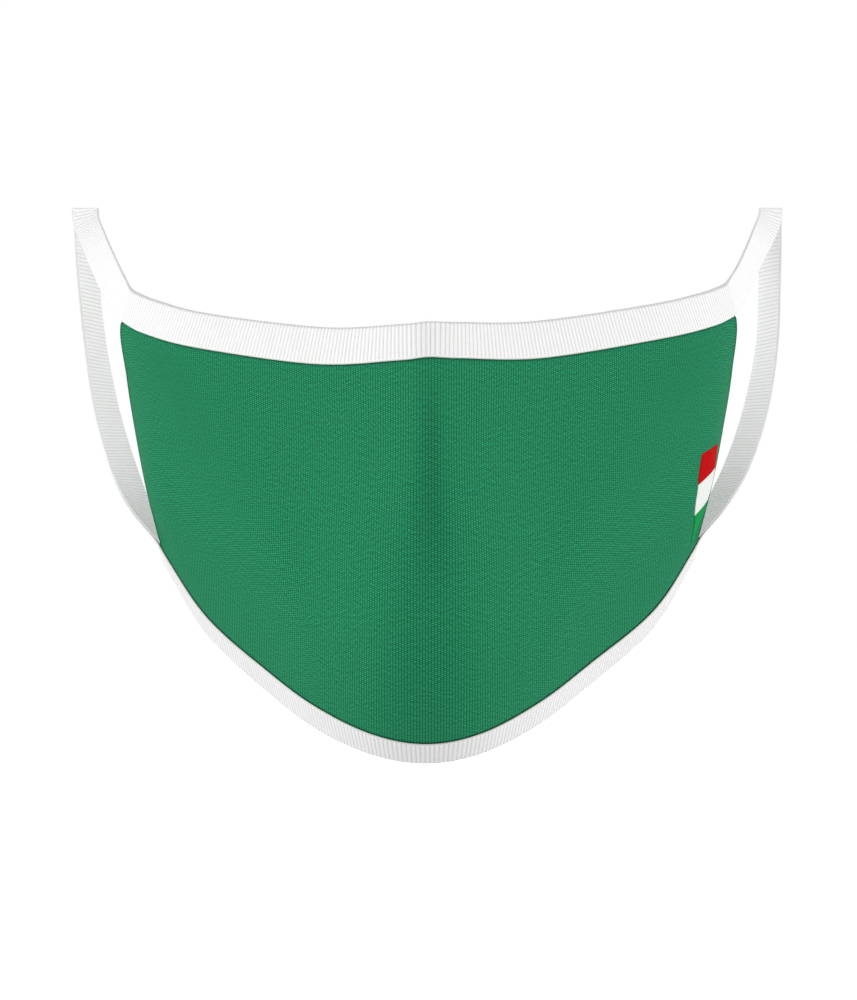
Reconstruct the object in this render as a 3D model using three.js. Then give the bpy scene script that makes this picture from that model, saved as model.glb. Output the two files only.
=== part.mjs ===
// A cloth face mask in the form that it has when worn: a shaped panel with a folded tape over its
// top and bottom borders. The tape runs on past the side hems as one loop for each ear, and a small
// three-striped patch lies on the left cheek. Millimetres, +Z up, +Y towards the wearer, +X to the
// wearer's left. The origin is on the bridge of the nose, where the top border sits.
import * as THREE from 'three';

// driving sizes
const CLOTH = 1.2;          // thickness of the panel
const TAPE = 1.0;           // thickness of one layer of tape
const SEAM = 0.3;           // gap that sewn pieces keep to each other
const PRINT = 0.4;          // thickness of the patch
const FOLD_ROUND = 1.4;     // how far the round of a binding's fold reaches over the edge
const BORDER_PULL = 1.3;    // how strongly the cloth leaves a binding in the tape's direction
const LEFT = 1;             // the wearer's left, the +X half
const RIGHT = -1;           // the wearer's right, the -X half

// grid sizes
const ACROSS_STEPS = 60;    // from one side hem to the other
const BODY_STEPS = 20;      // from the top binding to the bottom binding
const STRIP_STEPS = 2;      // under each binding
const LOOP_STEPS = 6;       // between two rows of an ear loop
const STRIPE_STEPS = { across: 8, down: 4 };

// The outer face of the cloth: a row for each course, from the fold of the top tape down to the fold
// of the bottom tape, and the same six places on each course from the centre out to the side hem.
// Courses 0 to 1 and 5 to 6 are the two strips that the tape covers.
const COURSES = [
  { centre: [0, -2.5, 0], crease: [8, -0.1, -0.4], flank: [28.3, 14.7, -0.2],
    cheek: [59.5, 39.3, 4.6], turn: [74.7, 55.3, 8.6], hem: [82.6, 67.5, 11.8] },
  { centre: [0, -5.5, -9.8], crease: [8, -3, -10.3], flank: [30.2, 12.2, -10.4],
    cheek: [62.6, 38.2, -5], turn: [77.8, 55.5, -0.8], hem: [85.1, 68.3, 2.9] },
  { centre: [0, -15.5, -36.1], crease: [8.4, -12.5, -36.6], flank: [30.1, 3.8, -35.5],
    cheek: [56.4, 24.5, -28.2], turn: [76, 50, -17.5], hem: [83.8, 70, -12.4] },
  { centre: [0, -18.5, -61.8], crease: [11.4, -15.5, -61.8], flank: [30.5, -0.8, -60],
    cheek: [48.4, 13.5, -52.5], turn: [74.1, 44.5, -35.7], hem: [81.2, 68.5, -28.2] },
  { centre: [0, -15, -87.6], crease: [13.4, -12, -86.2], flank: [30.6, 2.5, -82.1],
    cheek: [45.5, 17.5, -72.8], turn: [71.8, 44, -50.6], hem: [77.8, 63.5, -44.4] },
  { centre: [0, 2, -111.9], crease: [14.4, 4.3, -109.3], flank: [29.4, 15, -102.1],
    cheek: [42.8, 28.4, -92.6], turn: [60.5, 45.5, -78], hem: [73.7, 57.3, -59.4] },
  { centre: [0, 10.5, -117.6], crease: [13.4, 12.3, -115.6], flank: [27.8, 22, -109.5],
    cheek: [41.4, 35.5, -100], turn: [59.6, 53.5, -84.2], hem: [73, 66, -64.6] },
];
const PLACES = ['crease', 'flank', 'cheek', 'turn', 'hem'];

// The mask sits a little askew: each place is this much higher on the +X half and lower on the other.
const LIFT = { crease: 0.3, flank: 0.8, cheek: 1.2, turn: 1.0, hem: 0.8 };

// The folded tape of each ear loop, as x is counted outwards: the middle of the strip, the direction
// of its folded edge, its width and its thickness. It leaves the top binding, turns over the ear and
// comes back to the bottom binding, whose ends give the first and the last row.
const LEFT_LOOP = [
  { at: [87.7, 83, 14.7], fold: [-0.31, -0.34, 0.88], width: 8.8, thick: 2 },
  { at: [92.5, 98, 23.5], fold: [-0.5, -0.28, 0.72], width: 7.8, thick: 2 },
  { at: [96.5, 108.5, 31.5], fold: [-0.8, -0.1, 0.38], width: 7, thick: 2 },
  { at: [97.3, 112.2, 34.4], fold: [-0.98, 0, 0], width: 6.6, thick: 2 },
  { at: [97.3, 114.8, 31.1], fold: [-0.92, 0.3, -0.1], width: 6.8, thick: 2 },
  { at: [97, 113, 15.4], fold: [-0.78, 0.6, -0.16], width: 7.6, thick: 2 },
  { at: [96, 108.5, -3], fold: [-0.81, 0.56, -0.17], width: 7.6, thick: 2 },
  { at: [92.3, 98.5, -21.4], fold: [-0.93, 0.35, -0.05], width: 7.6, thick: 2 },
  { at: [86.9, 85.5, -36.9], fold: [-0.92, 0.39, 0], width: 8, thick: 2 },
  { at: [80.2, 73, -50.1], fold: [-0.71, 0.64, -0.29], width: 9.2, thick: 2.4 },
];
const RIGHT_LOOP = [
  { at: [88.5, 83, 14], fold: [-0.58, -0.22, 0.78], width: 9, thick: 2 },
  { at: [93.6, 98, 24], fold: [-0.75, -0.15, 0.62], width: 8.2, thick: 2 },
  { at: [97, 108.5, 31.5], fold: [-0.93, 0, 0.33], width: 7.7, thick: 2 },
  { at: [97.6, 112.2, 34.4], fold: [-1, 0, 0], width: 7.6, thick: 2 },
  { at: [97.3, 114.8, 31.1], fold: [-0.95, 0.25, -0.1], width: 7.6, thick: 2 },
  { at: [96.6, 113, 14.3], fold: [-0.8, 0.58, -0.16], width: 7.6, thick: 2 },
  { at: [94.5, 108.5, -3], fold: [-0.81, 0.56, -0.17], width: 7.6, thick: 2 },
  { at: [90.8, 98.5, -21.4], fold: [-0.93, 0.35, -0.05], width: 7.6, thick: 2 },
  { at: [85.5, 85.5, -37.5], fold: [-0.92, 0.39, 0], width: 8, thick: 2 },
  { at: [79.6, 73, -50.7], fold: [-0.71, 0.64, -0.29], width: 9.2, thick: 2.4 },
];

// The borders of the patch's stripes on the panel, from its front end to its end at the hem: across
// runs from 0 at the -X hem to 1 at the +X hem, down counts courses.
const PATCH_BORDERS = [
  { front: { across: 0.905, down: 3.05 }, back: { across: 0.994, down: 3.24 } },
  { front: { across: 0.903, down: 3.63 }, back: { across: 0.984, down: 3.7 } },
  { front: { across: 0.918, down: 4.18 }, back: { across: 0.985, down: 4.24 } },
  { front: { across: 0.972, down: 4.8 }, back: { across: 0.985, down: 4.74 } },
];
const STRIPE_GAP = 0.01;    // in courses, half of the gap between two stripes

const COLOURS = { cloth: 0x26825c, tape: 0xf4f4f3, red: 0xc11a1d, white: 0xeaefeb, green: 0x229953 };

const lastCourse = COURSES.length - 1;

function vector([x, y, z]) {
  return new THREE.Vector3(x, y, z);
}

function splineThrough(points) {
  return new THREE.CatmullRomCurve3(points, false, 'catmullrom', 0.5);
}

// One course from hem to hem: the table's places mirrored to -X, each half with its lift.
function courseCurve(course) {
  const half = (side) => PLACES.map((place) => {
    const [x, y, z] = course[place];
    return new THREE.Vector3(side * x, y, z + side * LIFT[place]);
  });
  return splineThrough([...half(RIGHT).reverse(), vector(course.centre), ...half(LEFT)]);
}

const courseCurves = COURSES.map(courseCurve);

// The surface along one line from top to bottom: straight under each binding, and between them a
// spline that leaves both bindings in the direction of the tape.
function downCurve(across) {
  const row = courseCurves.map((curve) => curve.getPoint(across));
  const last = row.length - 1;
  const topStrip = row[1].clone().sub(row[0]);
  const bottomStrip = row[last].clone().sub(row[last - 1]);
  const above = row[2].clone().addScaledVector(topStrip, -2 * BORDER_PULL);
  const below = row[last - 2].clone().addScaledVector(bottomStrip, 2 * BORDER_PULL);
  const body = splineThrough([above, ...row.slice(1, last), below]);
  return (down) => {
    if (down < 1) return row[0].clone().addScaledVector(topStrip, down);
    if (down > last - 1) return row[last - 1].clone().addScaledVector(bottomStrip, down - last + 1);
    return body.getPoint(down / last);
  };
}

function surfacePoint(across, down) {
  return downCurve(across)(down);
}

// The outward normal, from two short chords of the surface.
function surfaceNormal(across, down) {
  const step = 0.002;
  const low = Math.max(0, across - step);
  const high = Math.min(1, across + step);
  const upper = Math.max(0, down - step);
  const lower = Math.min(lastCourse, down + step);
  const alongRow = surfacePoint(high, down).sub(surfacePoint(low, down));
  const alongColumn = surfacePoint(across, lower).sub(surfacePoint(across, upper));
  return alongColumn.cross(alongRow).normalize();
}

function offsetPoint(across, down, distance) {
  return surfacePoint(across, down).addScaledVector(surfaceNormal(across, down), distance);
}

function acrossStations() {
  return Array.from({ length: ACROSS_STEPS + 1 }, (_, i) => i / ACROSS_STEPS);
}

// A mesh from points and faces, turned so that its faces point outwards.
function closedMesh(name, colour, points, faces) {
  const volume = faces.reduce((sum, [a, b, c]) => {
    const normal = points[b].clone().cross(points[c]);
    return sum + points[a].dot(normal);
  }, 0);
  const outward = volume > 0 ? faces : faces.map(([a, b, c]) => [a, c, b]);
  const geometry = new THREE.BufferGeometry();
  geometry.setAttribute('position', new THREE.Float32BufferAttribute(points.flatMap((p) => p.toArray()), 3));
  geometry.setIndex(outward.flat());
  geometry.computeVertexNormals();
  const material = new THREE.MeshStandardMaterial({ color: colour, roughness: 0.9, metalness: 0 });
  const mesh = new THREE.Mesh(geometry, material);
  mesh.name = name;
  return mesh;
}

function quad(a, b, c, d) {
  return [[a, b, c], [a, c, d]];
}

// A closed wall between an outer and an inner grid of points with the same rows and columns.
function wall(name, colour, outer, inner) {
  const rows = outer.length;
  const columns = outer[0].length;
  const at = (row, column) => row * columns + column;
  const back = rows * columns;
  const faces = [];
  for (let row = 0; row < rows - 1; row += 1) {
    for (let column = 0; column < columns - 1; column += 1) {
      const ring = [at(row, column), at(row + 1, column), at(row + 1, column + 1), at(row, column + 1)];
      faces.push(...quad(...ring));
      faces.push(...quad(...ring.reverse().map((index) => index + back)));
    }
  }
  const rim = [];
  for (let row = 0; row < rows - 1; row += 1) rim.push(at(row, 0));
  for (let column = 0; column < columns - 1; column += 1) rim.push(at(rows - 1, column));
  for (let row = rows - 1; row > 0; row -= 1) rim.push(at(row, columns - 1));
  for (let column = columns - 1; column > 0; column -= 1) rim.push(at(0, column));
  rim.forEach((index, i) => {
    const next = rim[(i + 1) % rim.length];
    faces.push(...quad(next, index, index + back, next + back));
  });
  return closedMesh(name, colour, [...outer.flat(), ...inner.flat()], faces);
}

// A closed solid through sections with equal numbers of points; outline is the first section flat.
function loft(name, colour, sections, outline) {
  const size = outline.length;
  const faces = [];
  for (let k = 0; k < sections.length - 1; k += 1) {
    for (let i = 0; i < size; i += 1) {
      const next = (i + 1) % size;
      faces.push(...quad(k * size + i, k * size + next, (k + 1) * size + next, (k + 1) * size + i));
    }
  }
  const clockwise = THREE.ShapeUtils.isClockWise(outline);
  const end = (sections.length - 1) * size;
  THREE.ShapeUtils.triangulateShape(outline, []).forEach(([a, b, c]) => {
    const first = clockwise ? [a, b, c] : [c, b, a];
    faces.push(first, first.map((index) => index + end).reverse());
  });
  return closedMesh(name, colour, sections.flat(), faces);
}

// The panel lies between the two layers of each binding and stops short of its folds.
function clothPanel() {
  const tuck = (across, fold, border) => {
    const width = surfacePoint(across, fold).distanceTo(surfacePoint(across, border));
    return (TAPE + SEAM) / width;
  };
  const downs = (across) => {
    const first = tuck(across, 0, 1);
    const last = lastCourse - tuck(across, lastCourse, lastCourse - 1);
    const upper = Array.from({ length: STRIP_STEPS }, (_, i) => first + (1 - first) * (i / STRIP_STEPS));
    const body = Array.from({ length: BODY_STEPS + 1 }, (_, i) => 1 + (lastCourse - 2) * (i / BODY_STEPS));
    const lower = Array.from({ length: STRIP_STEPS }, (_, i) =>
      lastCourse - 1 + (last - lastCourse + 1) * ((i + 1) / STRIP_STEPS));
    return [...upper, ...body, ...lower];
  };
  const face = (offset) => acrossStations().map((across) =>
    downs(across).map((down) => offsetPoint(across, down, offset)));
  return wall('cloth_panel', COLOURS.cloth, face(0), face(-CLOTH));
}

// The frame of a binding at one station: its fold, the way from there to its border, the outward
// normal and its width.
function bindingFrame(across, fold, border) {
  const start = surfacePoint(across, fold);
  const inward = surfacePoint(across, border).sub(start);
  const width = inward.length();
  const normal = surfaceNormal(across, (fold + border) / 2);
  return { start, inward: inward.normalize(), normal, width };
}

// The U of a folded tape: depth is counted from the fold, height outwards from the panel's face.
function bindingOutline(width) {
  const outside = SEAM + TAPE;
  const inside = -CLOTH - SEAM - TAPE;
  const middle = (outside + inside) / 2;
  const half = (outside - inside) / 2;
  const round = [60, 0, -60].map((degrees) => {
    const angle = THREE.MathUtils.degToRad(degrees);
    return [FOLD_ROUND * (1 - Math.cos(angle)) * 0.6, middle + half * Math.sin(angle) * 0.85];
  });
  const points = [
    [width, outside], [FOLD_ROUND, outside], ...round, [FOLD_ROUND, inside], [width, inside],
    [width, inside + TAPE], [TAPE, inside + TAPE], [TAPE, SEAM], [width, SEAM],
  ];
  return points.map(([depth, height]) => new THREE.Vector2(depth, height));
}

function binding(name, fold, border) {
  const sections = acrossStations().map((across) => {
    const frame = bindingFrame(across, fold, border);
    return bindingOutline(frame.width).map((point) => frame.start.clone()
      .addScaledVector(frame.inward, point.x)
      .addScaledVector(frame.normal, point.y));
  });
  return loft(name, COLOURS.tape, sections, bindingOutline(bindingFrame(0, fold, border).width));
}

// The row of an ear loop at a binding's end, a seam's gap past the hem, with x counted outwards.
function loopEnd(side, fold, border) {
  const across = side === LEFT ? 1 : 0;
  const frame = bindingFrame(across, fold, border);
  const before = bindingFrame(across - side * 0.01, fold, border);
  const away = frame.start.clone().sub(before.start).normalize();
  const middle = frame.start.clone()
    .addScaledVector(frame.inward, frame.width / 2)
    .addScaledVector(frame.normal, -CLOTH / 2)
    .addScaledVector(away, SEAM);
  const mirror = new THREE.Vector3(side, 1, 1);
  return {
    at: middle.multiply(mirror).toArray(),
    fold: frame.inward.clone().negate().multiply(mirror).toArray(),
    normal: frame.normal.clone().multiply(mirror),
    width: frame.width,
    thick: CLOTH + 2 * (TAPE + SEAM),
  };
}

// The section of a folded tape, with its round fold at +width / 2.
function loopOutline(width, thick) {
  const edge = width / 2;
  const half = thick / 2;
  const points = [
    [-edge, -half], [edge - half, -half], [edge - 0.3 * half, -0.7 * half], [edge, -0.2 * half],
    [edge, 0.2 * half], [edge - 0.3 * half, 0.7 * half], [edge - half, half], [-edge, half],
  ];
  return points.map(([along, out]) => new THREE.Vector2(along, out));
}

function earLoop(name, side, table) {
  const rows = [loopEnd(side, 0, 1), ...table, loopEnd(side, lastCourse, lastCourse - 1)];
  const path = splineThrough(rows.map((row) => vector(row.at)));
  const folds = splineThrough(rows.map((row) => vector(row.fold).normalize()));
  const sizes = splineThrough(rows.map((row) => new THREE.Vector3(row.width, row.thick, 0)));
  const steps = (rows.length - 1) * LOOP_STEPS;
  const outlines = [];
  const sections = Array.from({ length: steps + 1 }, (_, i) => {
    const t = i / steps;
    const centre = path.getPoint(t);
    const fold = folds.getPoint(t).normalize();
    const normal = path.getTangent(t).cross(fold).normalize();
    if (i % steps === 0) normal.copy(rows[i / LOOP_STEPS].normal);
    const size = sizes.getPoint(t);
    const outline = loopOutline(size.x, size.y);
    outlines.push(outline);
    return outline.map((point) => {
      const corner = centre.clone().addScaledVector(fold, point.x).addScaledVector(normal, point.y);
      corner.x *= side;
      return corner;
    });
  });
  return loft(name, COLOURS.tape, sections, outlines[0]);
}

// One stripe of the patch, a thin film just clear of the panel.
function patchStripe(name, colour, upper, lower) {
  const between = (a, b, t) => a + (b - a) * t;
  const place = (border, t) => ({
    across: between(border.front.across, border.back.across, t),
    down: between(border.front.down, border.back.down, t),
  });
  const face = (offset) => Array.from({ length: STRIPE_STEPS.down + 1 }, (_, row) =>
    Array.from({ length: STRIPE_STEPS.across + 1 }, (_unused, column) => {
      const top = place(upper, column / STRIPE_STEPS.across);
      const bottom = place(lower, column / STRIPE_STEPS.across);
      const t = row / STRIPE_STEPS.down;
      const down = between(top.down + STRIPE_GAP, bottom.down - STRIPE_GAP, t);
      return offsetPoint(between(top.across, bottom.across, t), down, offset);
    }));
  return wall(name, colour, face(SEAM + PRINT), face(SEAM));
}

const mask = new THREE.Group();
mask.add(clothPanel());
mask.add(binding('top_binding', 0, 1));
mask.add(binding('bottom_binding', lastCourse, lastCourse - 1));
mask.add(earLoop('right_ear_loop', RIGHT, RIGHT_LOOP));
mask.add(earLoop('left_ear_loop', LEFT, LEFT_LOOP));
['red', 'white', 'green'].forEach((colour, i) => {
  mask.add(patchStripe(`patch_${colour}_stripe`, COLOURS[colour], PATCH_BORDERS[i], PATCH_BORDERS[i + 1]));
});

export default mask;
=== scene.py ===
import math
from functools import partial

import bpy
import numpy as np
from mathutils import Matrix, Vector


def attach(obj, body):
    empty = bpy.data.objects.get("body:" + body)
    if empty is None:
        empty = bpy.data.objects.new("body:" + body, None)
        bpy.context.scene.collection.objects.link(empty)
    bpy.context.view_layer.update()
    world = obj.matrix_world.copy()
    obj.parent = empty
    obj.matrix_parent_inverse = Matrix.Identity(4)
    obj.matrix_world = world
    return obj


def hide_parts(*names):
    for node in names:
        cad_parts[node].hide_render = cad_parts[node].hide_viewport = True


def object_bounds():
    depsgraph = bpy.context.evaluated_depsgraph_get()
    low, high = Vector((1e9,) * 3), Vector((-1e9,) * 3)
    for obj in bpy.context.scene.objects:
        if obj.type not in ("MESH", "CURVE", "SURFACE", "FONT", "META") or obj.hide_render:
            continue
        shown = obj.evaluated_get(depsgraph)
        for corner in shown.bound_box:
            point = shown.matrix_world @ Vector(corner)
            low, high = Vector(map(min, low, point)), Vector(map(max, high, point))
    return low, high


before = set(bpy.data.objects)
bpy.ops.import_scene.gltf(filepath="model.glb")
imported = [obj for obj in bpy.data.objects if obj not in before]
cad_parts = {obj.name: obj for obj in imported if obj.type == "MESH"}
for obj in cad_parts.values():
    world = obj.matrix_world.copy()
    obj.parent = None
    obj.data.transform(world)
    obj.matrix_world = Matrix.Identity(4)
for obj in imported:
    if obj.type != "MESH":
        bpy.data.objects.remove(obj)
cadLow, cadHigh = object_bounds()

mm = 0.001
print("frame loaded")


# The form of the mask, in millimetres.
# The outer face of the cloth: a row for each course from the fold of the top tape to the fold of the
# bottom tape, with the same six places on each course from the middle out to the side hem.
maskForm = {
    "places": ("crease", "flank", "cheek", "turn", "hem"),
    "courses": (
        {"centre": (0, -2.5, 0), "crease": (8, -0.1, -0.4), "flank": (28.3, 14.7, -0.2),
         "cheek": (59.5, 39.3, 4.6), "turn": (74.7, 55.3, 8.6), "hem": (82.6, 67.5, 11.8)},
        {"centre": (0, -5.5, -9.8), "crease": (8, -3, -10.3), "flank": (30.2, 12.2, -10.4),
         "cheek": (62.6, 38.2, -5), "turn": (77.8, 55.5, -0.8), "hem": (85.1, 68.3, 2.9)},
        {"centre": (0, -15.5, -36.1), "crease": (8.4, -12.5, -36.6), "flank": (30.1, 3.8, -35.5),
         "cheek": (56.4, 24.5, -28.2), "turn": (76, 50, -17.5), "hem": (83.8, 70, -12.4)},
        {"centre": (0, -18.5, -61.8), "crease": (11.4, -15.5, -61.8), "flank": (30.5, -0.8, -60),
         "cheek": (48.4, 13.5, -52.5), "turn": (74.1, 44.5, -35.7), "hem": (81.2, 68.5, -28.2)},
        {"centre": (0, -15, -87.6), "crease": (13.4, -12, -86.2), "flank": (30.6, 2.5, -82.1),
         "cheek": (45.5, 17.5, -72.8), "turn": (71.8, 44, -50.6), "hem": (77.8, 63.5, -44.4)},
        {"centre": (0, 2, -111.9), "crease": (14.4, 4.3, -109.3), "flank": (29.4, 15, -102.1),
         "cheek": (42.8, 28.4, -92.6), "turn": (60.5, 45.5, -78), "hem": (73.7, 57.3, -59.4)},
        {"centre": (0, 10.5, -117.6), "crease": (13.4, 12.3, -115.6), "flank": (27.8, 22, -109.5),
         "cheek": (41.4, 35.5, -100), "turn": (59.6, 53.5, -84.2), "hem": (73, 66, -64.6)},
    ),
    # the +X half is this much higher, the other as much lower
    "lift": {"crease": 0.3, "flank": 0.8, "cheek": 1.2, "turn": 1.0, "hem": 0.8},
    # from this course down, the +X half is also this much wider
    "widerFrom": 2,
    "wider": {"crease": 0, "flank": 0.2, "cheek": 0.6, "turn": 1.1, "hem": 0.45},
    "borderPull": 1.3,       # how strongly the cloth leaves a binding in the tape's direction
}


def unit(vectors):
    # each vector over its own length
    return vectors / np.linalg.norm(vectors, axis=-1, keepdims=True)


def smooth(x):
    # rises from 0 to 1 as x goes from 0 to 1: 3x^2 - 2x^3
    x = np.clip(x, 0, 1)
    return x * x * (3 - 2 * x)


def cubic(before, start, end, after, t):
    # from start to end, each tangent half the chord between that point's neighbours
    pull, push = (end - before) / 2, (after - start) / 2
    cube = 2 * start - 2 * end + pull + push
    square = 3 * end - 3 * start - 2 * pull - push
    return cube * t**3 + square * t**2 + pull * t + start


def splineAt(points, t):
    # the cubic through all the points at t from 0 to 1, with a mirrored neighbour beyond each end
    t = np.asarray(t, float)
    line = np.concatenate([[2 * points[0] - points[1]], points, [2 * points[-1] - points[-2]]])
    place = t * (len(points) - 1)
    index = np.clip(place.astype(int), 0, len(points) - 2)
    part = (place - index).reshape(t.shape + (1,) * (points.ndim - 1))
    return cubic(line[index], line[index + 1], line[index + 2], line[index + 3], part)


def courseNet(form):
    # (place from hem to hem, course, xyz): the table's half mirrored to -X, each half with its own lift
    # and the +X one with its extra width
    places, courses = form["places"], form["courses"]
    half = np.array([[course[p] for p in places] for course in courses], float)
    centre = np.array([[course["centre"]] for course in courses], float)
    lift, wider = (np.array([form[k][p] for p in places]) for k in ("lift", "wider"))
    left, right = half.copy(), half * (-1, 1, 1)
    left[..., 2] += lift
    right[..., 2] -= lift
    left[form["widerFrom"]:, :, 0] += wider
    return np.moveaxis(np.concatenate([right[:, ::-1], centre, left], axis=1), 1, 0)


net = courseNet(maskForm)
lastCourse = net.shape[1] - 1


def maskPoint(across, down):
    # across 0..1 from hem to hem, down 0..6 in courses: a spline along every course, then down through
    # them; straight under each binding, and leaving both bindings in the direction of the tape
    across, down = np.broadcast_arrays(np.asarray(across, float), np.asarray(down, float))
    rows = np.moveaxis(splineAt(net, across), -2, 0)
    topStrip, bottomStrip = rows[1] - rows[0], rows[-1] - rows[-2]
    pull = 2 * maskForm["borderPull"]      # twice, because a tangent is half of its chord
    body = np.stack([rows[2] - pull * topStrip, *rows[1:-1], rows[-3] + pull * bottomStrip])
    index = np.clip(down.astype(int), 1, lastCourse - 2)
    corners = [np.take_along_axis(body, (index + k)[None, ..., None], 0)[0] for k in (-1, 0, 1, 2)]
    curve = cubic(*corners, (down - index)[..., None])
    down = down[..., None]
    upper = rows[0] + topStrip * down
    lower = rows[-2] + bottomStrip * (down - lastCourse + 1)
    return np.where(down < 1, upper, np.where(down > lastCourse - 1, lower, curve))


def maskNormal(across, down, step=0.002):
    # outward: the chord down the cloth crossed with the chord along the course
    across, down = np.broadcast_arrays(np.asarray(across, float), np.asarray(down, float))
    along = maskPoint(np.minimum(across + step, 1), down) - maskPoint(np.maximum(across - step, 0), down)
    below, above = np.minimum(down + step, lastCourse), np.maximum(down - step, 0)
    fall = maskPoint(across, below) - maskPoint(across, above)
    return unit(np.cross(fall, along))


def arcLength(points):
    # distance travelled along a line of points, from 0 at its first
    steps = np.linalg.norm(np.diff(points, axis=0), axis=-1)
    return np.concatenate([np.zeros((1,) + steps.shape[1:]), np.cumsum(steps, axis=0)])


def addToScene(name, data):
    # a new object that holds the data
    added = bpy.data.objects.new(name, data)
    bpy.context.scene.collection.objects.link(added)
    return added


# Meshes from rings of points.
def meshFrom(name, points, quads, corners, caps):
    # points in millimetres, quads (n, 4), corners (n, 4, 2) the map of each quad's corners; a cap is one
    # flat face, given by its points
    points = np.asarray(points, float) * mm
    sizes = [4] * len(quads) + [len(c) for c in caps]
    order = np.concatenate([np.ravel(quads), *caps]).astype(np.int32)
    mesh = bpy.data.meshes.new(name)
    mesh.vertices.add(len(points))
    mesh.vertices.foreach_set("co", points.ravel())
    mesh.loops.add(len(order))
    mesh.loops.foreach_set("vertex_index", order)
    mesh.polygons.add(len(sizes))
    mesh.polygons.foreach_set("loop_start", np.concatenate([[0], np.cumsum(sizes)[:-1]]).astype(np.int32))
    mesh.update(calc_edges=True)
    capCorners = np.zeros((len(order) - 4 * len(quads), 2))
    uv = mesh.uv_layers.new(name="clothMap")
    uv.data.foreach_set("uv", np.concatenate([np.reshape(corners, (-1, 2)), capCorners]).ravel())
    mesh.shade_smooth()
    mesh.validate()
    return addToScene(name, mesh)


def ringQuads(rows, columns):
    # quads between neighbouring rings of points; the last column joins the first
    row, column = np.meshgrid(np.arange(rows - 1), np.arange(columns), indexing="ij")
    after = (column + 1) % columns
    quads = np.stack([row * columns + column, (row + 1) * columns + column,
                      (row + 1) * columns + after, row * columns + after], -1)
    return quads.reshape(-1, 4)


def ringCorners(flat):
    # the map of those quads, from a (rows, columns + 1) map, so that the closing quad doesn't run back
    return np.stack([flat[:-1, :-1], flat[1:, :-1], flat[1:, 1:], flat[:-1, 1:]], 2).reshape(-1, 4, 2)


def ringPiece(name, points, flat, paired=0, **masks):
    # a closed skin through rings of points (rows, columns, 3). Each end is one flat face; on a thin curved
    # ring, whose first `paired` columns are its outer run, it is quads from the outer to the inner run,
    # with a flat face where the ring turns between them. Every mask holds one value a column, or one a point.
    rows, columns = points.shape[:2]
    quads, corners = ringQuads(rows, columns), ringCorners(flat)
    lastRing = (rows - 1) * columns
    caps = [np.arange(columns)]
    if paired:
        turn = (columns - 2 * paired) // 2
        outer = np.arange(paired - 1)
        inner = 2 * paired + turn - 1 - outer
        bridge = np.stack([outer, outer + 1, inner - 1, inner], -1)
        quads = np.concatenate([quads, bridge, bridge[:, ::-1] + lastRing])
        corners = np.concatenate([corners, flat[0][bridge], flat[-1][bridge[:, ::-1]]])
        endTurn = np.arange(paired - 1, paired + turn + 1)
        startTurn = np.append(np.arange(columns - turn - 1, columns), 0)
        caps = [endTurn, startTurn] if turn else []
    caps = caps + [cap[::-1] + lastRing for cap in caps]
    piece = meshFrom(name, points.reshape(-1, 3), quads, corners, caps)
    for label, mask in masks.items():
        shares = piece.data.attributes.new(label, "FLOAT", "POINT")
        shares.data.foreach_set("value", np.ravel(np.broadcast_to(mask, (rows, columns))))
    return piece


# The panel, in millimetres where nothing else is said.
panelLook = {
    "thickness": 1.0,
    "seamDip": 0.3,          # the cloth is drawn in beside the tape
    "seamReach": 0.7,
    "courseHeight": 25.0,    # between two courses, about
    "tuck": 0.3,             # how far the border stays short of the tape's fold, in courses
    "hemInset": 0.0022,      # in across, half the thickness, for the round of the hem
    "hemZone": 0.02,         # in across, where the columns of points are close together
    "hemSteps": 10,
    "hemRoundSteps": 5,
    "middleSteps": 200,
    "stripSteps": 4,
    "bodySteps": 150,
    "crowding": 0.65,        # how far the rows of points crowd towards both bindings
    "hemPaintedShade": 0.7,          # painted shade on the face beside the hem's round, which has 1: a dark outline where the cloth turns away
    "hemPaintedShadeReach": 0.009,   # in across
    "foldPaintedShade": 0.19,        # painted shade of a soft fold: how much darker a band down the middle is
    "foldAt": 0.514,         # in across
    "foldReach": 0.045,
    "foldStart": 1.1,        # in courses down
    "foldEnd": 3.7,
    "foldIn": 0.7,           # courses over which the fold comes in
    "foldOut": 1.2,          # and over which it goes out
}


def clothPoint(across, down, height=0.0):
    # a point that far above the face of the cloth, which dips beside each tape by a bell of the distance
    look = panelLook
    toTape = np.minimum(np.abs(down - 1), np.abs(lastCourse - 1 - down)) * look["courseHeight"]
    dip = look["seamDip"] * np.exp(-((toTape / look["seamReach"]) ** 2))
    return maskPoint(across, down) + maskNormal(across, down) * (height - dip)[..., None]


def panelSteps():
    # the places of the columns, close together in both hems, and of the rows, which crowd towards both
    # bindings as t - crowding * sin(2 pi t) / 2 pi
    look = panelLook
    hem = np.linspace(look["hemInset"], look["hemZone"], look["hemSteps"] + 1)
    middle = np.linspace(look["hemZone"], 1 - look["hemZone"], look["middleSteps"] + 1)[1:-1]
    across = np.concatenate([hem, middle, 1 - hem[::-1]])
    strip = np.linspace(look["tuck"], 1, look["stripSteps"], endpoint=False)
    t = np.linspace(0, 1, look["bodySteps"] + 1)
    body = 1 + (lastCourse - 2) * (t - look["crowding"] * np.sin(2 * math.pi * t) / (2 * math.pi))
    down = np.concatenate([strip, body, lastCourse - strip[::-1]])
    return across, down


def hemRound(start, end, beside):
    # in each row half a circle of points from start to end, that bulges away from the column beside start
    steps = panelLook["hemRoundSteps"]
    angle = math.pi * np.arange(1, steps + 1)[:, None] / (steps + 1)
    radius = np.linalg.norm(start - end, axis=-1)[:, None, None] / 2
    up, away = unit(start - end)[:, None], unit(start - beside)[:, None]
    return (start + end)[:, None] / 2 + radius * (np.cos(angle) * up + np.sin(angle) * away)


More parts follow.
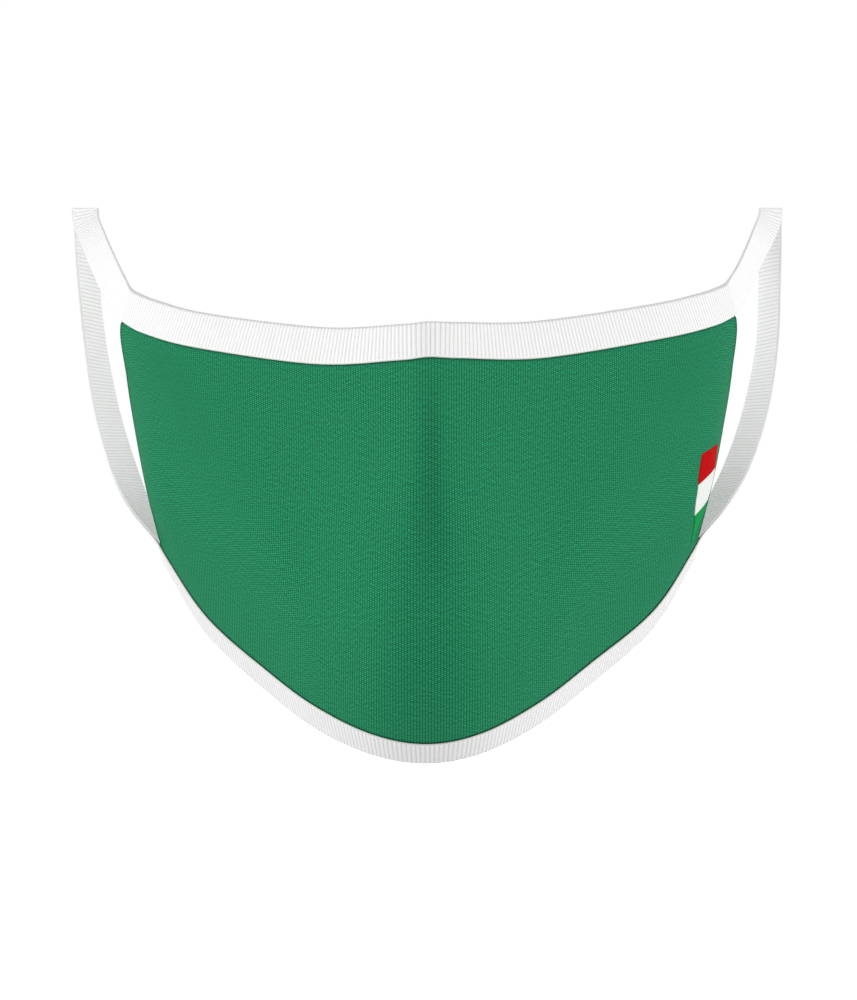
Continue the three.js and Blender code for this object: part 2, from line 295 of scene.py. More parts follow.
def panelPaintedShade(across, down):
    # painted shade at each point: 1 on the round of the hem, less beside it on the outer face, and 0 inside.
    # The painted shade of the soft fold is a bell across, that comes in and goes out down the courses.
    look = panelLook
    toHem = (np.minimum(across, 1 - across) - look["hemInset"]) / look["hemPaintedShadeReach"]
    bell = np.exp(-(((across - look["foldAt"]) / look["foldReach"]) ** 2))
    length = smooth((down - look["foldStart"]) / look["foldIn"])
    length = length * smooth((look["foldEnd"] - down) / look["foldOut"])
    face = look["hemPaintedShade"] * (1 - smooth(toHem)) + look["foldPaintedShade"] * bell * length[:, None]
    rim = np.ones((len(down), look["hemRoundSteps"]))
    return np.concatenate([face, rim, np.zeros_like(face), rim], axis=1)


def panelMap(ring, outer, rim):
    # millimetres along each course and down the cloth, both from the middle; the rim and the inner face
    # have the same distance down as the outer face beside them
    closed = np.concatenate([ring, ring[:, :1]], axis=1)
    run = arcLength(np.moveaxis(closed, 1, 0)).T
    run = run - run[:, [outer.shape[1] // 2]]
    drop = arcLength(outer)
    drop = drop - drop[[len(outer) // 2]]
    leftRim, rightRim = np.repeat(drop[:, -1:], rim, 1), np.repeat(drop[:, :1], rim, 1)
    fall = np.concatenate([drop, leftRim, drop[:, ::-1], rightRim, drop[:, :1]], axis=1)
    return np.stack([run, fall], -1)


def makePanel():
    # one closed skin: a net of points on the outer face, one on the inner face, and a half round at each
    # hem. Its area is half the cross product of each quad's diagonals, added up.
    across, down = panelSteps()
    acrossGrid, downGrid = np.meshgrid(across, down)
    outer = clothPoint(acrossGrid, downGrid)
    inner = clothPoint(acrossGrid, downGrid, -panelLook["thickness"])
    leftRound = hemRound(outer[:, -1], inner[:, -1], outer[:, -2])
    rightRound = hemRound(outer[:, 0], inner[:, 0], outer[:, 1])
    ring = np.concatenate([outer, leftRound, inner[:, ::-1], rightRound[:, ::-1]], axis=1)
    flat = panelMap(ring, outer, panelLook["hemRoundSteps"])
    # the painted shade of the hem and of the soft fold goes on the panel as a point mask
    panel = ringPiece("clothPanel", ring, flat, paired=len(across), edgeTone=panelPaintedShade(across, down))
    diagonals = outer[1:, 1:] - outer[:-1, :-1], outer[:-1, 1:] - outer[1:, :-1]
    area = np.linalg.norm(np.cross(*diagonals), axis=-1).sum() / 2
    longest = np.ptp(flat[:, :len(across), 0], axis=1).max()
    middle = np.ptp(flat[:, len(across) // 2, 1])
    print("panel: area", round(area), "mm2, longest course", round(longest, 1),
          "mm, middle", round(middle, 1), "mm")
    return panel


# The tape: two bindings and two ear loops, one folded strip all the way round, in millimetres.
tapeLook = {
    # course of the fold, course of the border, share of the width that the fold gives up at the hems
    "bindings": {"top": (0, 1, 0), "bottom": (lastCourse, lastCourse - 1, 0.16)},
    "endReach": 0.09,        # in across
    "layer": 0.5,
    "loopLayer": 0.45,
    "clothGap": 1.04,        # between the two layers where the cloth lies in it
    "loopGap": 0.04,         # between them on the loops
    "closeOver": 1.2,        # length over which the layers close on leaving the cloth
    "turnOver": 6,           # length over which a loop turns from the cloth's face to its own
    "ribPitch": 1.2,
    "loopRibPitch": 1.14,
    "ribDepth": 0.12,
    "ribPower": 0.7,         # below 1, so that the ribs are broad and the valleys narrow
    "samplesPerRib": 6,
    "bindingSteps": 4000,    # of the fine line on which a binding's length is measured
    "loopSteps": 6000,
    "selvedge": 0.06,        # share of the width over which the ribs fade out at the open border
    "cornerReach": 28,       # samples over which the turn from binding to loop is rounded
    # points of the section: shares of the width on a layer's outside and inside, from the border to the
    # fold, and angles on the round of the fold and on the small round of a border
    "outsideShares": (1, 0.985, 0.94, 0.9, 0.75, 0.6, 0.45, 0.3, 0.15, 0),
    "insideShares": (1, 0.5, 0),
    "foldAngles": (67, 45, 22, 0, -22, -45, -67),
    "borderAngles": (45, 0, -45),
    # painted shade on the line of the fold, on the fold's front, at a layer's end and on its border: dark
    # outlines where the tape turns away
    "foldPaintedShade": 0.8,
    "foldFrontPaintedShade": 0.5,
    "endPaintedShade": 0.3,
    "borderPaintedShade": 0.45,
}
# points on the middle line of each loop, from the top binding to the bottom one, with the way from there
# to the folded edge and the width of the tape
earLoops = {
    "left": (
        {"at": (87.7, 83, 14.7), "fold": (-0.31, -0.34, 0.88), "width": 8.8},
        {"at": (92.5, 98, 23.5), "fold": (-0.5, -0.28, 0.72), "width": 7.8},
        {"at": (96.5, 108.5, 31.5), "fold": (-0.8, -0.1, 0.38), "width": 7},
        {"at": (97.3, 112.2, 35.3), "fold": (-0.98, 0, 0), "width": 6.6},
        {"at": (97.3, 114.8, 31.1), "fold": (-0.92, 0.3, -0.1), "width": 6.8},
        {"at": (97, 113, 15.4), "fold": (-0.78, 0.6, -0.16), "width": 7.6},
        {"at": (96, 108.5, -3), "fold": (-0.81, 0.56, -0.17), "width": 7.6},
        {"at": (92.3, 98.5, -21.4), "fold": (-0.93, 0.35, -0.05), "width": 7.6},
        {"at": (86.6, 85.5, -36.9), "fold": (-0.92, 0.39, 0), "width": 8},
        {"at": (79.2, 73, -50.3), "fold": (-0.71, 0.64, -0.29), "width": 9.2},
    ),
    "right": (
        {"at": (88.5, 83, 14), "fold": (-0.58, -0.22, 0.78), "width": 9},
        {"at": (93.6, 98, 24), "fold": (-0.75, -0.15, 0.62), "width": 8.2},
        {"at": (97, 108.5, 31.5), "fold": (-0.93, 0, 0.33), "width": 7.7},
        {"at": (97.6, 112.2, 35.3), "fold": (-1, 0, 0), "width": 7.6},
        {"at": (97.3, 114.8, 31.1), "fold": (-0.95, 0.25, -0.1), "width": 7.6},
        {"at": (96.6, 113, 14.3), "fold": (-0.8, 0.58, -0.16), "width": 7.6},
        {"at": (94.5, 108.5, -3), "fold": (-0.81, 0.56, -0.17), "width": 7.6},
        {"at": (90.8, 98.5, -21.4), "fold": (-0.93, 0.35, -0.05), "width": 7.6},
        {"at": (85.5, 85.5, -37.5), "fold": (-0.92, 0.39, 0), "width": 8},
        {"at": (79.6, 73, -50.7), "fold": (-0.71, 0.64, -0.29), "width": 9.2},
    ),
}


def tapeProfile():
    # The U of the folded tape as shares of its width, half its gap and its layer, so that one table
    # serves every section: depth counts from the fold, height from the middle of the two layers.
    # Columns: depth as (width, gap, layer), height as (gap, layer), rib weight, rib direction, painted edge
    # shade.
    look = tapeLook

    def rows(*columns):
        # one row a point; a single number serves them all
        return np.column_stack(np.broadcast_arrays(*columns))

    def leg(shares, side, outside):
        # straight along one face of a layer, from or to half a layer short of the border
        f = np.array(shares, float)
        weight = np.minimum(1, (1 - f) / look["selvedge"]) * outside
        # painted shade at the end of the outer layer
        tone = look["endPaintedShade"] * (f == 1) * outside
        return rows(f, 1 - f, (1 - f) - f / 2, side, side * outside, weight, 0, side, tone)

    def bend(angles, outside):
        # round the fold, where the inside has no layer to go round
        a = np.radians(angles)
        rise, back = np.sin(a), 1 - np.cos(a)
        # painted shade along the line of the fold and on its front
        tone = np.maximum(look["foldPaintedShade"] * np.cos(3 * a), look["foldFrontPaintedShade"] * np.sin(2 * a))
        tone = np.maximum(tone, 0) * outside
        layer = back if outside else 1
        return rows(0, back, layer, rise, rise * outside, outside, -np.cos(a), rise, tone)

    def border(angles, side):
        # round a layer's open border, half a layer thick
        a = np.radians(angles)
        depth, height = (np.cos(a) - 1) / 2, side * (1 + np.sin(a)) / 2
        return rows(1, 0, depth, side, height, 0, 0, 0, look["borderPaintedShade"])

    outside, inside = look["outsideShares"], look["insideShares"]
    angles = look["borderAngles"]
    table = np.concatenate([
        leg(outside, 1, True), bend(look["foldAngles"], True), leg(outside[::-1], -1, True),
        border(angles, -1),
        leg(inside, -1, False), bend(angles[::-1], False), leg(inside[::-1], 1, False),
        border(angles[::-1], 1),
    ])
    return table[:, 0:3], table[:, 3:5], table[:, 5], table[:, 6:8], table[:, 8]


def bindingFrames(across, place):
    # rows of the tape on the middle of the cloth: fold line, border line and outward normal
    foldCourse, borderCourse, narrowing = tapeLook["bindings"][place]
    normal = maskNormal(across, np.full_like(across, (foldCourse + borderCourse) / 2))
    middle = normal * panelLook["thickness"] / 2
    toEnd = (0.5 - np.abs(across - 0.5)) / tapeLook["endReach"]
    foldAt = foldCourse + (borderCourse - foldCourse) * narrowing * (1 - smooth(toEnd))
    return maskPoint(across, foldAt) - middle, maskPoint(across, borderCourse) - middle, normal


def evenly(points, pitch):
    # shares 0..1 of a fine line of points that step evenly along it, a whole number of ribs in all
    along = arcLength(points)
    count = round(along[-1] / pitch) * tapeLook["samplesPerRib"]
    return np.interp(np.linspace(0, along[-1], count + 1), along, np.linspace(0, 1, len(points)))


def layFrames(fold, border, normal, toCloth):
    # one table of frames: fold line, border line, normal, gap between the layers and their thickness
    look = tapeLook
    opening = 1 - smooth(toCloth / look["closeOver"])
    gap = look["loopGap"] + (look["clothGap"] - look["loopGap"]) * opening
    layer = look["loopLayer"] + (look["layer"] - look["loopLayer"]) * opening
    return np.column_stack([fold, border, normal, gap, layer])


def bindingPart(place):
    # the frames of one binding, in even steps: the top one towards +X, the bottom one back again
    fold, border, _ = bindingFrames(np.linspace(0, 1, tapeLook["bindingSteps"] + 1), place)
    across = evenly((fold + border) / 2, tapeLook["ribPitch"])
    frames = layFrames(*bindingFrames(across, place), np.zeros_like(across))
    return frames if place == "top" else frames[::-1]


def loopPart(side, table):
    # a spline through the loop's points, from the top binding's end to the bottom one's, with x counted
    # outwards and mirrored at the end on -X; its normal is square to the line and to the way of the fold
    look = tapeLook
    mirror = np.array([side, 1, 1], float)
    edge = np.array([1.0 if side > 0 else 0.0])
    rows, endNormals = list(table), []
    for place, row in (("top", 0), ("bottom", len(table) + 1)):
        fold, border, normal = (a[0] * mirror for a in bindingFrames(edge, place))
        rows.insert(row, {"at": (fold + border) / 2, "fold": fold - border,
                          "width": np.linalg.norm(fold - border)})
        endNormals.append(normal)
    at = np.array([r["at"] for r in rows], float)
    folds = unit(np.array([r["fold"] for r in rows], float))
    widths = np.array([[r["width"]] for r in rows], float)
    t = evenly(splineAt(at, np.linspace(0, 1, look["loopSteps"] + 1)), look["loopRibPitch"])
    centre, foldWay, width = splineAt(at, t), unit(splineAt(folds, t)), splineAt(widths, t)
    along = arcLength(centre)[:, None]
    toCloth = np.minimum(along, along[-1] - along)
    nearest = np.where(along < along[-1] / 2, *endNormals)
    own = unit(np.cross(np.gradient(centre, axis=0), foldWay))
    normal = unit(nearest + (own - nearest) * smooth(toCloth / look["turnOver"]))
    half = foldWay * width / 2
    frames = layFrames(centre + half, centre - half, normal, toCloth[:, 0])
    frames[:, (0, 3, 6)] *= side      # x of the fold line, the border line and the normal
    return frames if side > 0 else frames[::-1]


def roundCorners(frames, corners):
    # near each corner every line of the table becomes its own mean over the neighbouring frames, in which
    # the nearer ones count more
    reach, count = tapeLook["cornerReach"], len(frames)
    shares = reach + 1 - np.abs(np.arange(-reach, reach + 1))
    mean = sum(np.roll(frames, k - reach, axis=0) * share for k, share in enumerate(shares)) / shares.sum()
    place = np.arange(count)
    away = np.min([np.minimum((place - c) % count, (c - place) % count) for c in corners], axis=0)
    near = 1 - smooth((away - reach) / reach)
    return frames + (mean - frames) * near[:, None]


def tapePiece(name, frames):
    # rings of points: depth counts from the fold line to the border, height along the normal; the ribs
    # sink the skin between them by 1 - |sin| of their phase, to a power
    look = tapeLook
    depth, height, weight, direction, tone = tapeProfile()
    fold, border, normal, gap, layer = np.split(frames, (3, 6, 9, 10), axis=1)
    width = np.linalg.norm(border - fold, axis=-1, keepdims=True)
    inward = (border - fold) / width
    normal = unit(normal - inward * (normal * inward).sum(-1, keepdims=True))
    along = arcLength((fold + border) / 2)
    ribs = (len(along) - 1) // look["samplesPerRib"]
    phase = along / along[-1] * ribs
    sink = look["ribDepth"] * (1 - np.abs(np.sin(math.pi * phase)) ** look["ribPower"])[:, None] * weight
    depths = width * depth[:, 0] + gap / 2 * depth[:, 1] + layer * depth[:, 2] - sink * direction[:, 0]
    heights = gap / 2 * height[:, 0] + layer * height[:, 1] - sink * direction[:, 1]
    rings = fold[:, None] + inward[:, None] * depths[..., None] + normal[:, None] * heights[..., None]
    closed = np.concatenate([rings, rings[:, :1]], 1)
    # the map counts ribs along the tape and millimetres round its section
    count = np.repeat(phase[:, None], closed.shape[1], 1)
    flat = np.stack([count, arcLength(np.moveaxis(closed, 1, 0)).T], -1)
    piece = ringPiece(name, rings, flat, ribWeight=weight, edgeTone=tone)
    print(name, round(along[-1], 1), "mm,", ribs, "ribs,", rings.shape[0] * rings.shape[1] * 2, "triangles")
    return piece


def makeTape(loops):
    # all the way round as one table of frames, rounded at the four corners and cut there into its pieces
    parts = {
        "topBinding": bindingPart("top"),
        "leftEarLoop": loopPart(1, loops["left"]),
        "bottomBinding": bindingPart("bottom"),
        "rightEarLoop": loopPart(-1, loops["right"]),
    }
    ring = np.concatenate([part[:-1] for part in parts.values()])
    cuts = np.cumsum([0] + [len(part) - 1 for part in parts.values()])
    ring = roundCorners(ring, cuts[:-1])
    ring = np.concatenate([ring, ring[:1]])
    spans = zip(parts, cuts[:-1], cuts[1:])
    return {name: tapePiece(name, ring[start:end + 1]) for name, start, end in spans}


# The patch: three stripes, one below the other, in millimetres.
patchLook = {
    "film": 0.22,            # how far it stands above the cloth
    "underside": 0.01,       # how far its back does
    "size": (16, 9),         # of a stripe, about
    "edgeRound": 0.12,       # how much lower its edge is
    "edgeReach": 0.3,
    "columns": 46,
    "rows": 24,
    # where the borders of its stripes start in front and end near the hem, as (across, down)
    "fronts": ((0.8954, 2.976), (0.893, 3.554), (0.9026, 4.101), (0.9594, 4.587)),
    "backs": ((0.944, 3.06), (0.941, 3.53), (0.945, 4.08), (0.968, 4.6)),
}


def makeStripe(name, number):
    # a film on the cloth from its upper to its lower border: an outer and an inner run of points a row
    look = patchLook
    s = np.linspace(0, 1, look["columns"] + 1)
    t = np.linspace(0, 1, look["rows"] + 1)
    sGrid, tGrid = np.meshgrid(s, t)
    place = (number + tGrid) / (len(look["fronts"]) - 1)
    front, back = (splineAt(np.array(look[k]), place) for k in ("fronts", "backs"))
    across, down = np.moveaxis(front + (back - front) * sGrid[..., None], -1, 0)
    width, height = look["size"]
    toEdge = np.minimum(np.minimum(sGrid, 1 - sGrid) * width, np.minimum(tGrid, 1 - tGrid) * height)
    edge = 1 - smooth(toEdge / look["edgeReach"])
    outer = clothPoint(across, down, look["film"] - look["edgeRound"] * edge)
    inner = clothPoint(across, down, look["underside"])
    ring = np.concatenate([outer, inner[:, ::-1]], 1)
    # the map is in millimetres, and the inner run has the outer run's
    flat = np.stack([arcLength(np.moveaxis(outer, 1, 0)).T, arcLength(outer)], -1)
    flat = np.concatenate([flat, flat[:, ::-1], flat[:, :1]], 1)
    return ringPiece(name, ring, flat, paired=len(s), edgeTone=0.0)


# Effects that the finishes share.
mixSockets = {"factor": 0, "first": 6, "second": 7, "result": 2}      # of a Mix node that mixes colours
knitShape = {
    "bend": 0.4,             # how far a row line is bent across one stitch
    "stagger": 0.5,          # how far each column is moved against the one before, in stitches
    "domePower": 0.7,        # below 1, so that a stitch is broad and round
}
yarnDetail = {"Mottle": 3, "Fuzz": 2}


def newGroup(name, inputs, outputs):
    # a group of nodes with named inputs and outputs, each a number but for the map
    group = bpy.data.node_groups.new(name, "ShaderNodeTree")
    for way, labels in (("INPUT", inputs), ("OUTPUT", outputs)):
        for label in labels:
            kind = "NodeSocketVector" if label == "Map" else "NodeSocketFloat"
            group.interface.new_socket(name=label, in_out=way, socket_type=kind)
    return group, group.nodes.new("NodeGroupInput"), group.nodes.new("NodeGroupOutput")


def feed(tree, socket, value):
    # an output is linked to the socket, and a number or the three numbers of a colour are set on it
    if isinstance(value, bpy.types.NodeSocket):
        tree.links.new(value, socket)
    elif isinstance(value, (int, float)):
        socket.default_value = value
    else:
        socket.default_value = (*value, 1)


def mathNode(tree, operation, *values):
    # each value is a number or an output
    node = tree.nodes.new("ShaderNodeMath")
    node.operation = operation
    for socket, value in zip(node.inputs, values):
        feed(tree, socket, value)
    return node.outputs[0]


def colourMix(tree, blend, factor, first, second):
    # factor is a number or an output, the colours three numbers or an output
    node = tree.nodes.new("ShaderNodeMix")
    node.data_type = "RGBA"
    node.blend_type = blend
    for label, value in (("factor", factor), ("first", first), ("second", second)):
        feed(tree, node.inputs[mixSockets[label]], value)
    return node.outputs[mixSockets["result"]]


def knitGroup():
    # Fine knit on a map in millimetres: columns of stitches, each column moved half a stitch against its
    # neighbour. A stitch is a small dome with a bent row line; Pit is deepest between the stitches. Each
    # stitch has its own Tone, its chance less the mean chance of the two beside it, so that no blotches form.
    group, given, result = newGroup(
        "fineKnit", ("Map", "Column Pitch", "Row Pitch"), ("Height", "Pit", "Tone"))
    calc = partial(mathNode, group)
    parts = group.nodes.new("ShaderNodeSeparateXYZ")
    group.links.new(given.outputs["Map"], parts.inputs[0])
    column = calc("DIVIDE", parts.outputs[0], given.outputs["Column Pitch"])
    row = calc("DIVIDE", parts.outputs[1], given.outputs["Row Pitch"])
    columnNumber = calc("FLOOR", column)
    inColumn = calc("SUBTRACT", calc("FRACT", column), 0.5)
    bend = calc("MULTIPLY", calc("ABSOLUTE", inColumn), knitShape["bend"])
    stagger = calc("MULTIPLY_ADD", columnNumber, knitShape["stagger"], bend)
    shifted = calc("ADD", row, stagger)
    columnDome = calc("COSINE", calc("MULTIPLY", inColumn, math.pi))
    rowDome = calc("ABSOLUTE", calc("SINE", calc("MULTIPLY", shifted, math.pi)))
    height = calc("POWER", calc("MULTIPLY", columnDome, rowDome), knitShape["domePower"])
    group.links.new(height, result.inputs["Height"])
    group.links.new(calc("SUBTRACT", 1.0, height), result.inputs["Pit"])
    rowNumber = calc("FLOOR", shifted)
    chances = []
    for step in (-1.0, 0.0, 1.0):
        cell = group.nodes.new("ShaderNodeCombineXYZ")
        group.links.new(columnNumber, cell.inputs[0])
        group.links.new(calc("ADD", rowNumber, step), cell.inputs[1])
        chance = group.nodes.new("ShaderNodeTexWhiteNoise")
        group.links.new(cell.outputs[0], chance.inputs["Vector"])
        chances.append(chance.outputs["Value"])
    before, own, after = chances
    beside = calc("MULTIPLY", calc("ADD", before, after), 0.5)
    group.links.new(calc("MULTIPLY_ADD", calc("SUBTRACT", own, beside), 0.5, 0.5), result.inputs["Tone"])
    return group


def yarnGroup():
    # uneven yarn on the same kind of map: soft mottling for the colour and a fine fuzz for the surface
    group, given, result = newGroup(
        "unevenYarn", ("Map", "Mottle Scale", "Fuzz Scale"), ("Mottle", "Fuzz"))
    for label, detail in yarnDetail.items():
        noise = group.nodes.new("ShaderNodeTexNoise")
        noise.inputs["Detail"].default_value = detail
        group.links.new(given.outputs["Map"], noise.inputs["Vector"])
        group.links.new(given.outputs[label + " Scale"], noise.inputs["Scale"])
        group.links.new(noise.outputs["Fac"], result.inputs[label])
    return group


knit, yarn = knitGroup(), yarnGroup()


def startMaterial(name, look):
    # a cloth material with its map; the constant values sit on the shader's own sockets
    material = bpy.data.materials.new(name)
    material.use_nodes = True
    tree = material.node_tree
    shader = tree.nodes["Principled BSDF"]
    shader.inputs["Roughness"].default_value = look["roughness"]
    shader.inputs["Specular IOR Level"].default_value = look["specular"]
    uv = tree.nodes.new("ShaderNodeUVMap")
    uv.uv_map = "clothMap"
    return material, tree, shader, uv.outputs[0]


def placeGroup(tree, group, uv, values):
    # the group in this material, on this map and with these values
    node = tree.nodes.new("ShaderNodeGroup")
    node.node_tree = group
    tree.links.new(uv, node.inputs["Map"])
    for label, value in values.items():
        node.inputs[label].default_value = value
    return node.outputs


def ownMask(tree, name):
    # one of the piece's own point masks
    node = tree.nodes.new("ShaderNodeAttribute")
    node.attribute_name = name
    return node.outputs["Fac"]


def finishMaterial(tree, shader, look, colour, mottle, height):
    # mottled, with painted shade on its edges and folds, and with its weave as a bump
    calc = partial(mathNode, tree)
    gain = calc("MULTIPLY_ADD", mottle, look["mottle"], 1 - look["mottle"] / 2)
    # painted shade: the piece's own mask darkens the colour
    edge = calc("MULTIPLY", ownMask(tree, "edgeTone"), look["edge"])
    gain = calc("MULTIPLY", gain, calc("SUBTRACT", 1.0, edge))
    tree.links.new(colourMix(tree, "MULTIPLY", 1.0, colour, gain), shader.inputs["Base Color"])
    bump = tree.nodes.new("ShaderNodeBump")
    bump.inputs["Distance"].default_value = look["bump"] * mm
    tree.links.new(height, bump.inputs["Height"])
    tree.links.new(bump.outputs[0], shader.inputs["Normal"])


def knitMaterial(name, look):
    # stitch tops in the light colour, each with its own tone, and painted shade in the pits between them
    material, tree, shader, uv = startMaterial(name, look)
    calc = partial(mathNode, tree)
    stitches = placeGroup(tree, knit, uv, look["stitches"])
    yarns = placeGroup(tree, yarn, uv, look["yarns"])
    tone = calc("MULTIPLY_ADD", stitches["Tone"], look["uneven"], 1 - look["uneven"])
    # painted shade in the pits between the stitches
    depth = calc("POWER", stitches["Pit"], look["pitPower"])
    share = calc("MULTIPLY", calc("MULTIPLY", depth, tone), look["pitShadeShare"])
    colour = colourMix(tree, "MIX", share, look["light"], look["paintedShadeColour"])
    gain = calc("MULTIPLY_ADD", stitches["Tone"], -look["toneGain"], 1 + look["toneGain"] / 2)
    colour = colourMix(tree, "MULTIPLY", 1.0, colour, gain)
    height = calc("MULTIPLY_ADD", yarns["Fuzz"], look["fuzz"], stitches["Height"])
    finishMaterial(tree, shader, look, colour, yarns["Mottle"], height)
    return material


def ribMaterial(name, look):
    # The ribs themselves are in the mesh. Their valleys get painted shade, in lines that the yarn breaks up,
    # and a fine weave runs over everything, with painted shade in its pits. The map counts ribs, so a valley
    # is at each whole number.
    material, tree, shader, uv = startMaterial(name, look)
    calc = partial(mathNode, tree)
    scaled = tree.nodes.new("ShaderNodeVectorMath")
    scaled.operation = "MULTIPLY"
    scaled.inputs[1].default_value = (look["pitch"], 1, 1)
    tree.links.new(uv, scaled.inputs[0])
    yarns = placeGroup(tree, yarn, scaled.outputs[0], look["yarns"])
    weave = placeGroup(tree, knit, scaled.outputs[0], look["stitches"])
    parts = tree.nodes.new("ShaderNodeSeparateXYZ")
    tree.links.new(uv, parts.inputs[0])
    wave = calc("ABSOLUTE", calc("SINE", calc("MULTIPLY", parts.outputs[0], math.pi)))
    # painted shade in the valleys between the ribs
    valley = calc("POWER", calc("SUBTRACT", 1.0, wave), look["valleyPower"])
    broken = calc("MULTIPLY_ADD", yarns["Fuzz"], look["broken"], 1 - look["broken"] / 2)
    valley = calc("MULTIPLY", calc("MULTIPLY", valley, ownMask(tree, "ribWeight")), broken)
    valley = calc("MULTIPLY", valley, look["valleyShadeShare"])
    # painted shade in the pits of the fine weave
    weavePitShade = calc("MULTIPLY", weave["Pit"], look["weavePitShadeShare"])
    colour = colourMix(tree, "MIX", valley, look["light"], look["paintedShadeColour"])
    colour = colourMix(tree, "MIX", weavePitShade, colour, look["paintedShadeColour"])
    height = calc("MULTIPLY_ADD", yarns["Fuzz"], look["fuzz"], weave["Height"])
    finishMaterial(tree, shader, look, colour, yarns["Mottle"], height)
    return material


# The finishes. Pitches and the bump are in millimetres, and a scale counts per millimetre.
clothFinish = {
    "light": (0.022, 0.325, 0.146),     # tops of the stitches
    "paintedShadeColour": (0.0005, 0.012, 0.004),     # painted shade in the pits between them
    "pitShadeShare": 1.0,                    # how much painted shade the deepest pits take
    "pitPower": 1.3,                    # how narrow the pits are
    "uneven": 0.35,                     # how much the pits differ from stitch to stitch
    "toneGain": 0.34,                   # and how much the brightness does
    "stitches": {"Column Pitch": 0.79, "Row Pitch": 0.62},
    "yarns": {"Mottle Scale": 0.1, "Fuzz Scale": 4.0},
    "mottle": 0.04,
    "fuzz": 0.3,
    "bump": 0.1,
    "edge": 0.8,                        # how much painted shade darkens the hem and the soft fold
    "roughness": 0.8,
    "specular": 0.1,
}
tapeFinish = {
    "light": (0.92, 0.92, 0.915),
    # painted shade in the valleys between the ribs and in the pits of the weave
    "paintedShadeColour": (0.36, 0.36, 0.37),
    "valleyShadeShare": 0.5,                 # how much painted shade the valleys between the ribs take
    "valleyPower": 2.0,                 # how narrow that is
    "broken": 0.9,                      # how much the yarn breaks it up
    "weavePitShadeShare": 0.05,                 # and how much painted shade the pits of the fine weave take
    "pitch": 1.17,                      # of the ribs
    "stitches": {"Column Pitch": 0.39, "Row Pitch": 0.45},
    "yarns": {"Mottle Scale": 0.3, "Fuzz Scale": 1.6},
    "mottle": 0.03,
    "fuzz": 0.6,
    "bump": 0.05,
    "edge": 0.5,
    "roughness": 0.85,
    "specular": 0.15,
}
loopPaintedLightFinish = {"light": (0.96, 0.96, 0.955), "valleyShadeShare": 0.42, "pitch": 1.12}      # where it differs: painted light, a lighter colour and less valley shade, that lift the shade falling on the loops behind the panel
patchFinish = {
    "pitShadeShare": 0.25,
    "pitPower": 1.0,
    "uneven": 0.3,
    "toneGain": 0.05,
    "stitches": {"Column Pitch": 0.4, "Row Pitch": 0.32},
    "yarns": {"Mottle Scale": 0.3, "Fuzz Scale": 5.0},
    "mottle": 0.04,
    "fuzz": 0.3,
    "bump": 0.03,
    "edge": 0.4,
    "roughness": 0.7,
    "specular": 0.03,
}
# each stripe's own colour on its stitches, and painted shade in the pits between them
patchColours = {
    "red": {"light": (0.50, 0.003, 0.005), "paintedShadeColour": (0.38, 0.002, 0.003)},
    "white": {"light": (0.80, 0.83, 0.81), "paintedShadeColour": (0.66, 0.69, 0.67)},
    "green": {"light": (0.003, 0.30, 0.065), "paintedShadeColour": (0.002, 0.21, 0.043)},
}


def dress(piece, material, node):
    # a finished piece gets its material and takes the place of its node
    piece.data.materials.append(material)
    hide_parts(node)
    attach(piece, "root")
    return piece


panel = dress(makePanel(), knitMaterial("greenKnit", clothFinish), "cloth_panel")
whiteTape = ribMaterial("whiteTape", tapeFinish)
# painted light: the loops have a lighter copy of the tape's finish
whiteLoopPaintedLight = ribMaterial("whiteLoopPaintedLight", {**tapeFinish, **loopPaintedLightFinish})
tapeNodes = {"topBinding": "top_binding", "bottomBinding": "bottom_binding",
             "leftEarLoop": "left_ear_loop", "rightEarLoop": "right_ear_loop"}
tapePieces = makeTape(earLoops)
for name, piece in tapePieces.items():
    dress(piece, whiteLoopPaintedLight if "Loop" in name else whiteTape, tapeNodes[name])
print("tape made")

for number, (colourName, colours) in enumerate(patchColours.items()):
    stripe = makeStripe("patch" + colourName.capitalize() + "Stripe", number)
    finish = knitMaterial(colourName + "Patch", {**patchFinish, **colours})
    dress(stripe, finish, f"patch_{colourName}_stripe")
print("patch made")


# Floor, light and camera, in metres.
stageLook = {
    "floorDrop": 0.12,       # below the mask
    "floorRadius": 6.0,
    "floorCorners": 96,
    "floorShade": 0.9,
    "floorRoughness": 0.9,
    "cameraDistance": 1.5,
    "aimHeight": -0.04736,
    "frameHeight": 0.2646,   # of what the camera takes in at the origin
    "sensorHeight": 36,      # of the camera, in millimetres
    "skyBase": 0.46,         # light of the white room from everywhere
    "skySides": 0.34,        # more of it from both sides
}
# the power is in watts
studioLights = (
    {"name": "key", "at": (-0.7, -1.5, 1.1), "size": 0.9, "power": 7.5},
    {"name": "left", "at": (-1.85, -0.33, 0.64), "size": 1.2, "power": 15.5},
    {"name": "right", "at": (1.85, -0.33, 0.5), "size": 1.2, "power": 17},
)


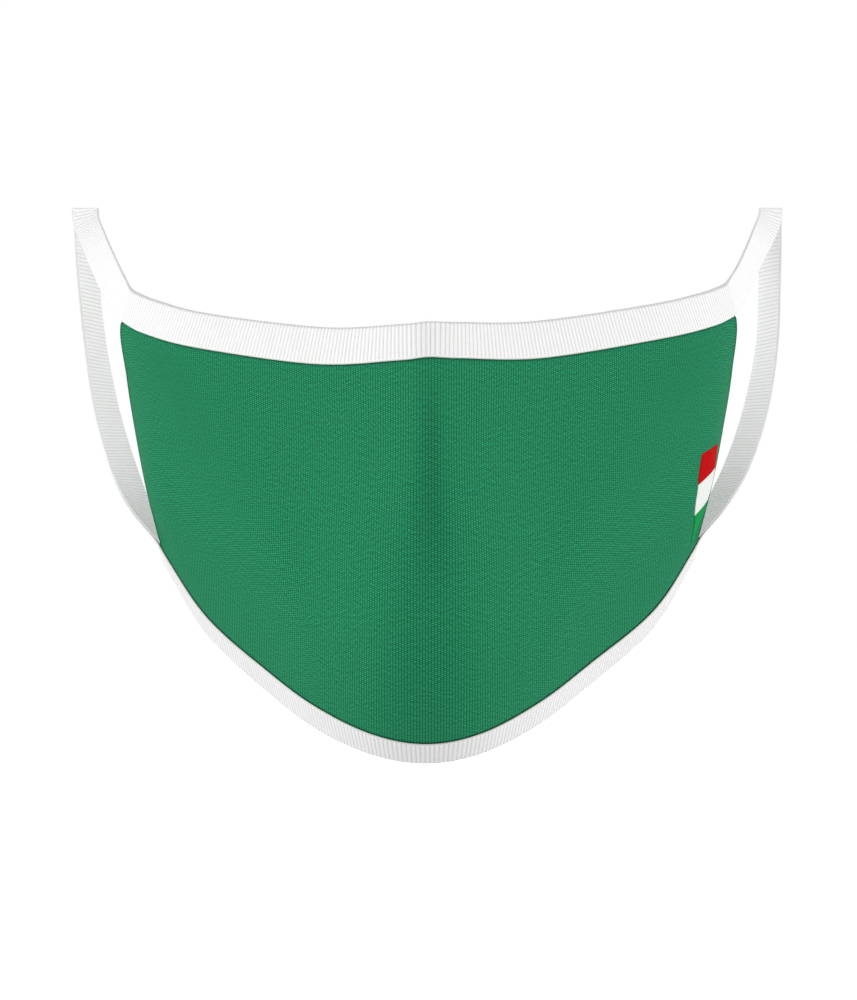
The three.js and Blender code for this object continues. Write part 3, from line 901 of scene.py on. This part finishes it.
def makeFloor():
    # a wide level disc of many corners under the mask
    look = stageLook
    angle = np.linspace(0, 2 * math.pi, look["floorCorners"], endpoint=False)
    rim = np.stack([np.cos(angle), np.sin(angle)], -1) * look["floorRadius"]
    height = cadLow[2] - look["floorDrop"]
    mesh = bpy.data.meshes.new("floor")
    mesh.from_pydata([(x, y, height) for x, y in rim], [], [tuple(range(len(rim)))])
    material = bpy.data.materials.new("paleFloor")
    material.use_nodes = True
    tree = material.node_tree
    shader = tree.nodes["Principled BSDF"]
    shade = look["floorShade"]
    shader.inputs["Roughness"].default_value = look["floorRoughness"]
    shader.inputs["Base Color"].default_value = (shade, shade, shade, 1)
    shader.inputs["Emission Color"].default_value = (1, 1, 1, 1)
    # seen directly it is as white as the backdrop
    path = tree.nodes.new("ShaderNodeLightPath")
    tree.links.new(path.outputs["Is Camera Ray"], shader.inputs["Emission Strength"])
    mesh.materials.append(material)
    addToScene("floor", mesh)


def makeSky():
    # a plain white room: seen directly it is white, and as light it is stronger towards both sides
    look = stageLook
    world = bpy.data.worlds.new("studio")
    bpy.context.scene.world = world
    world.use_nodes = True
    tree = world.node_tree
    calc = partial(mathNode, tree)
    background = tree.nodes["Background"]
    background.inputs["Color"].default_value = (1, 1, 1, 1)
    parts = tree.nodes.new("ShaderNodeSeparateXYZ")
    tree.links.new(tree.nodes.new("ShaderNodeTexCoord").outputs["Generated"], parts.inputs[0])
    sides = calc("MULTIPLY", parts.outputs[0], parts.outputs[0])
    light = calc("MULTIPLY_ADD", sides, look["skySides"], look["skyBase"])
    path = tree.nodes.new("ShaderNodeLightPath")
    notSeen = calc("SUBTRACT", 1.0, path.outputs["Is Camera Ray"])
    strength = calc("MULTIPLY_ADD", light, notSeen, path.outputs["Is Camera Ray"])
    tree.links.new(strength, background.inputs["Strength"])


def makeLights():
    # round lamps, each turned from its place towards the middle of the mask
    aim = np.array([0, 0, stageLook["aimHeight"]])
    for light in studioLights:
        data = bpy.data.lights.new(light["name"], "AREA")
        data.shape, data.size, data.energy = "DISK", light["size"], light["power"]
        lamp = addToScene(light["name"], data)
        lamp.location = light["at"]
        lamp.rotation_euler = Vector(aim - light["at"]).to_track_quat("-Z", "Y").to_euler()


def makeCamera():
    # level and straight in front; its lens is to its sensor as its distance is to the height it takes in
    look = stageLook
    data = bpy.data.cameras.new("camera")
    data.sensor_width = look["sensorHeight"]      # the sensor's long side, which is upright here
    data.lens = data.sensor_width * look["cameraDistance"] / look["frameHeight"]
    camera = addToScene("camera", data)
    camera.location = (0, -look["cameraDistance"], look["aimHeight"])
    camera.rotation_euler = (math.pi / 2, 0, 0)
    bpy.context.scene.camera = camera


makeFloor()
makeSky()
makeLights()
makeCamera()
bpy.context.scene.view_settings.view_transform = "Standard"
bpy.context.scene.view_settings.look = "None"
print("stage made")
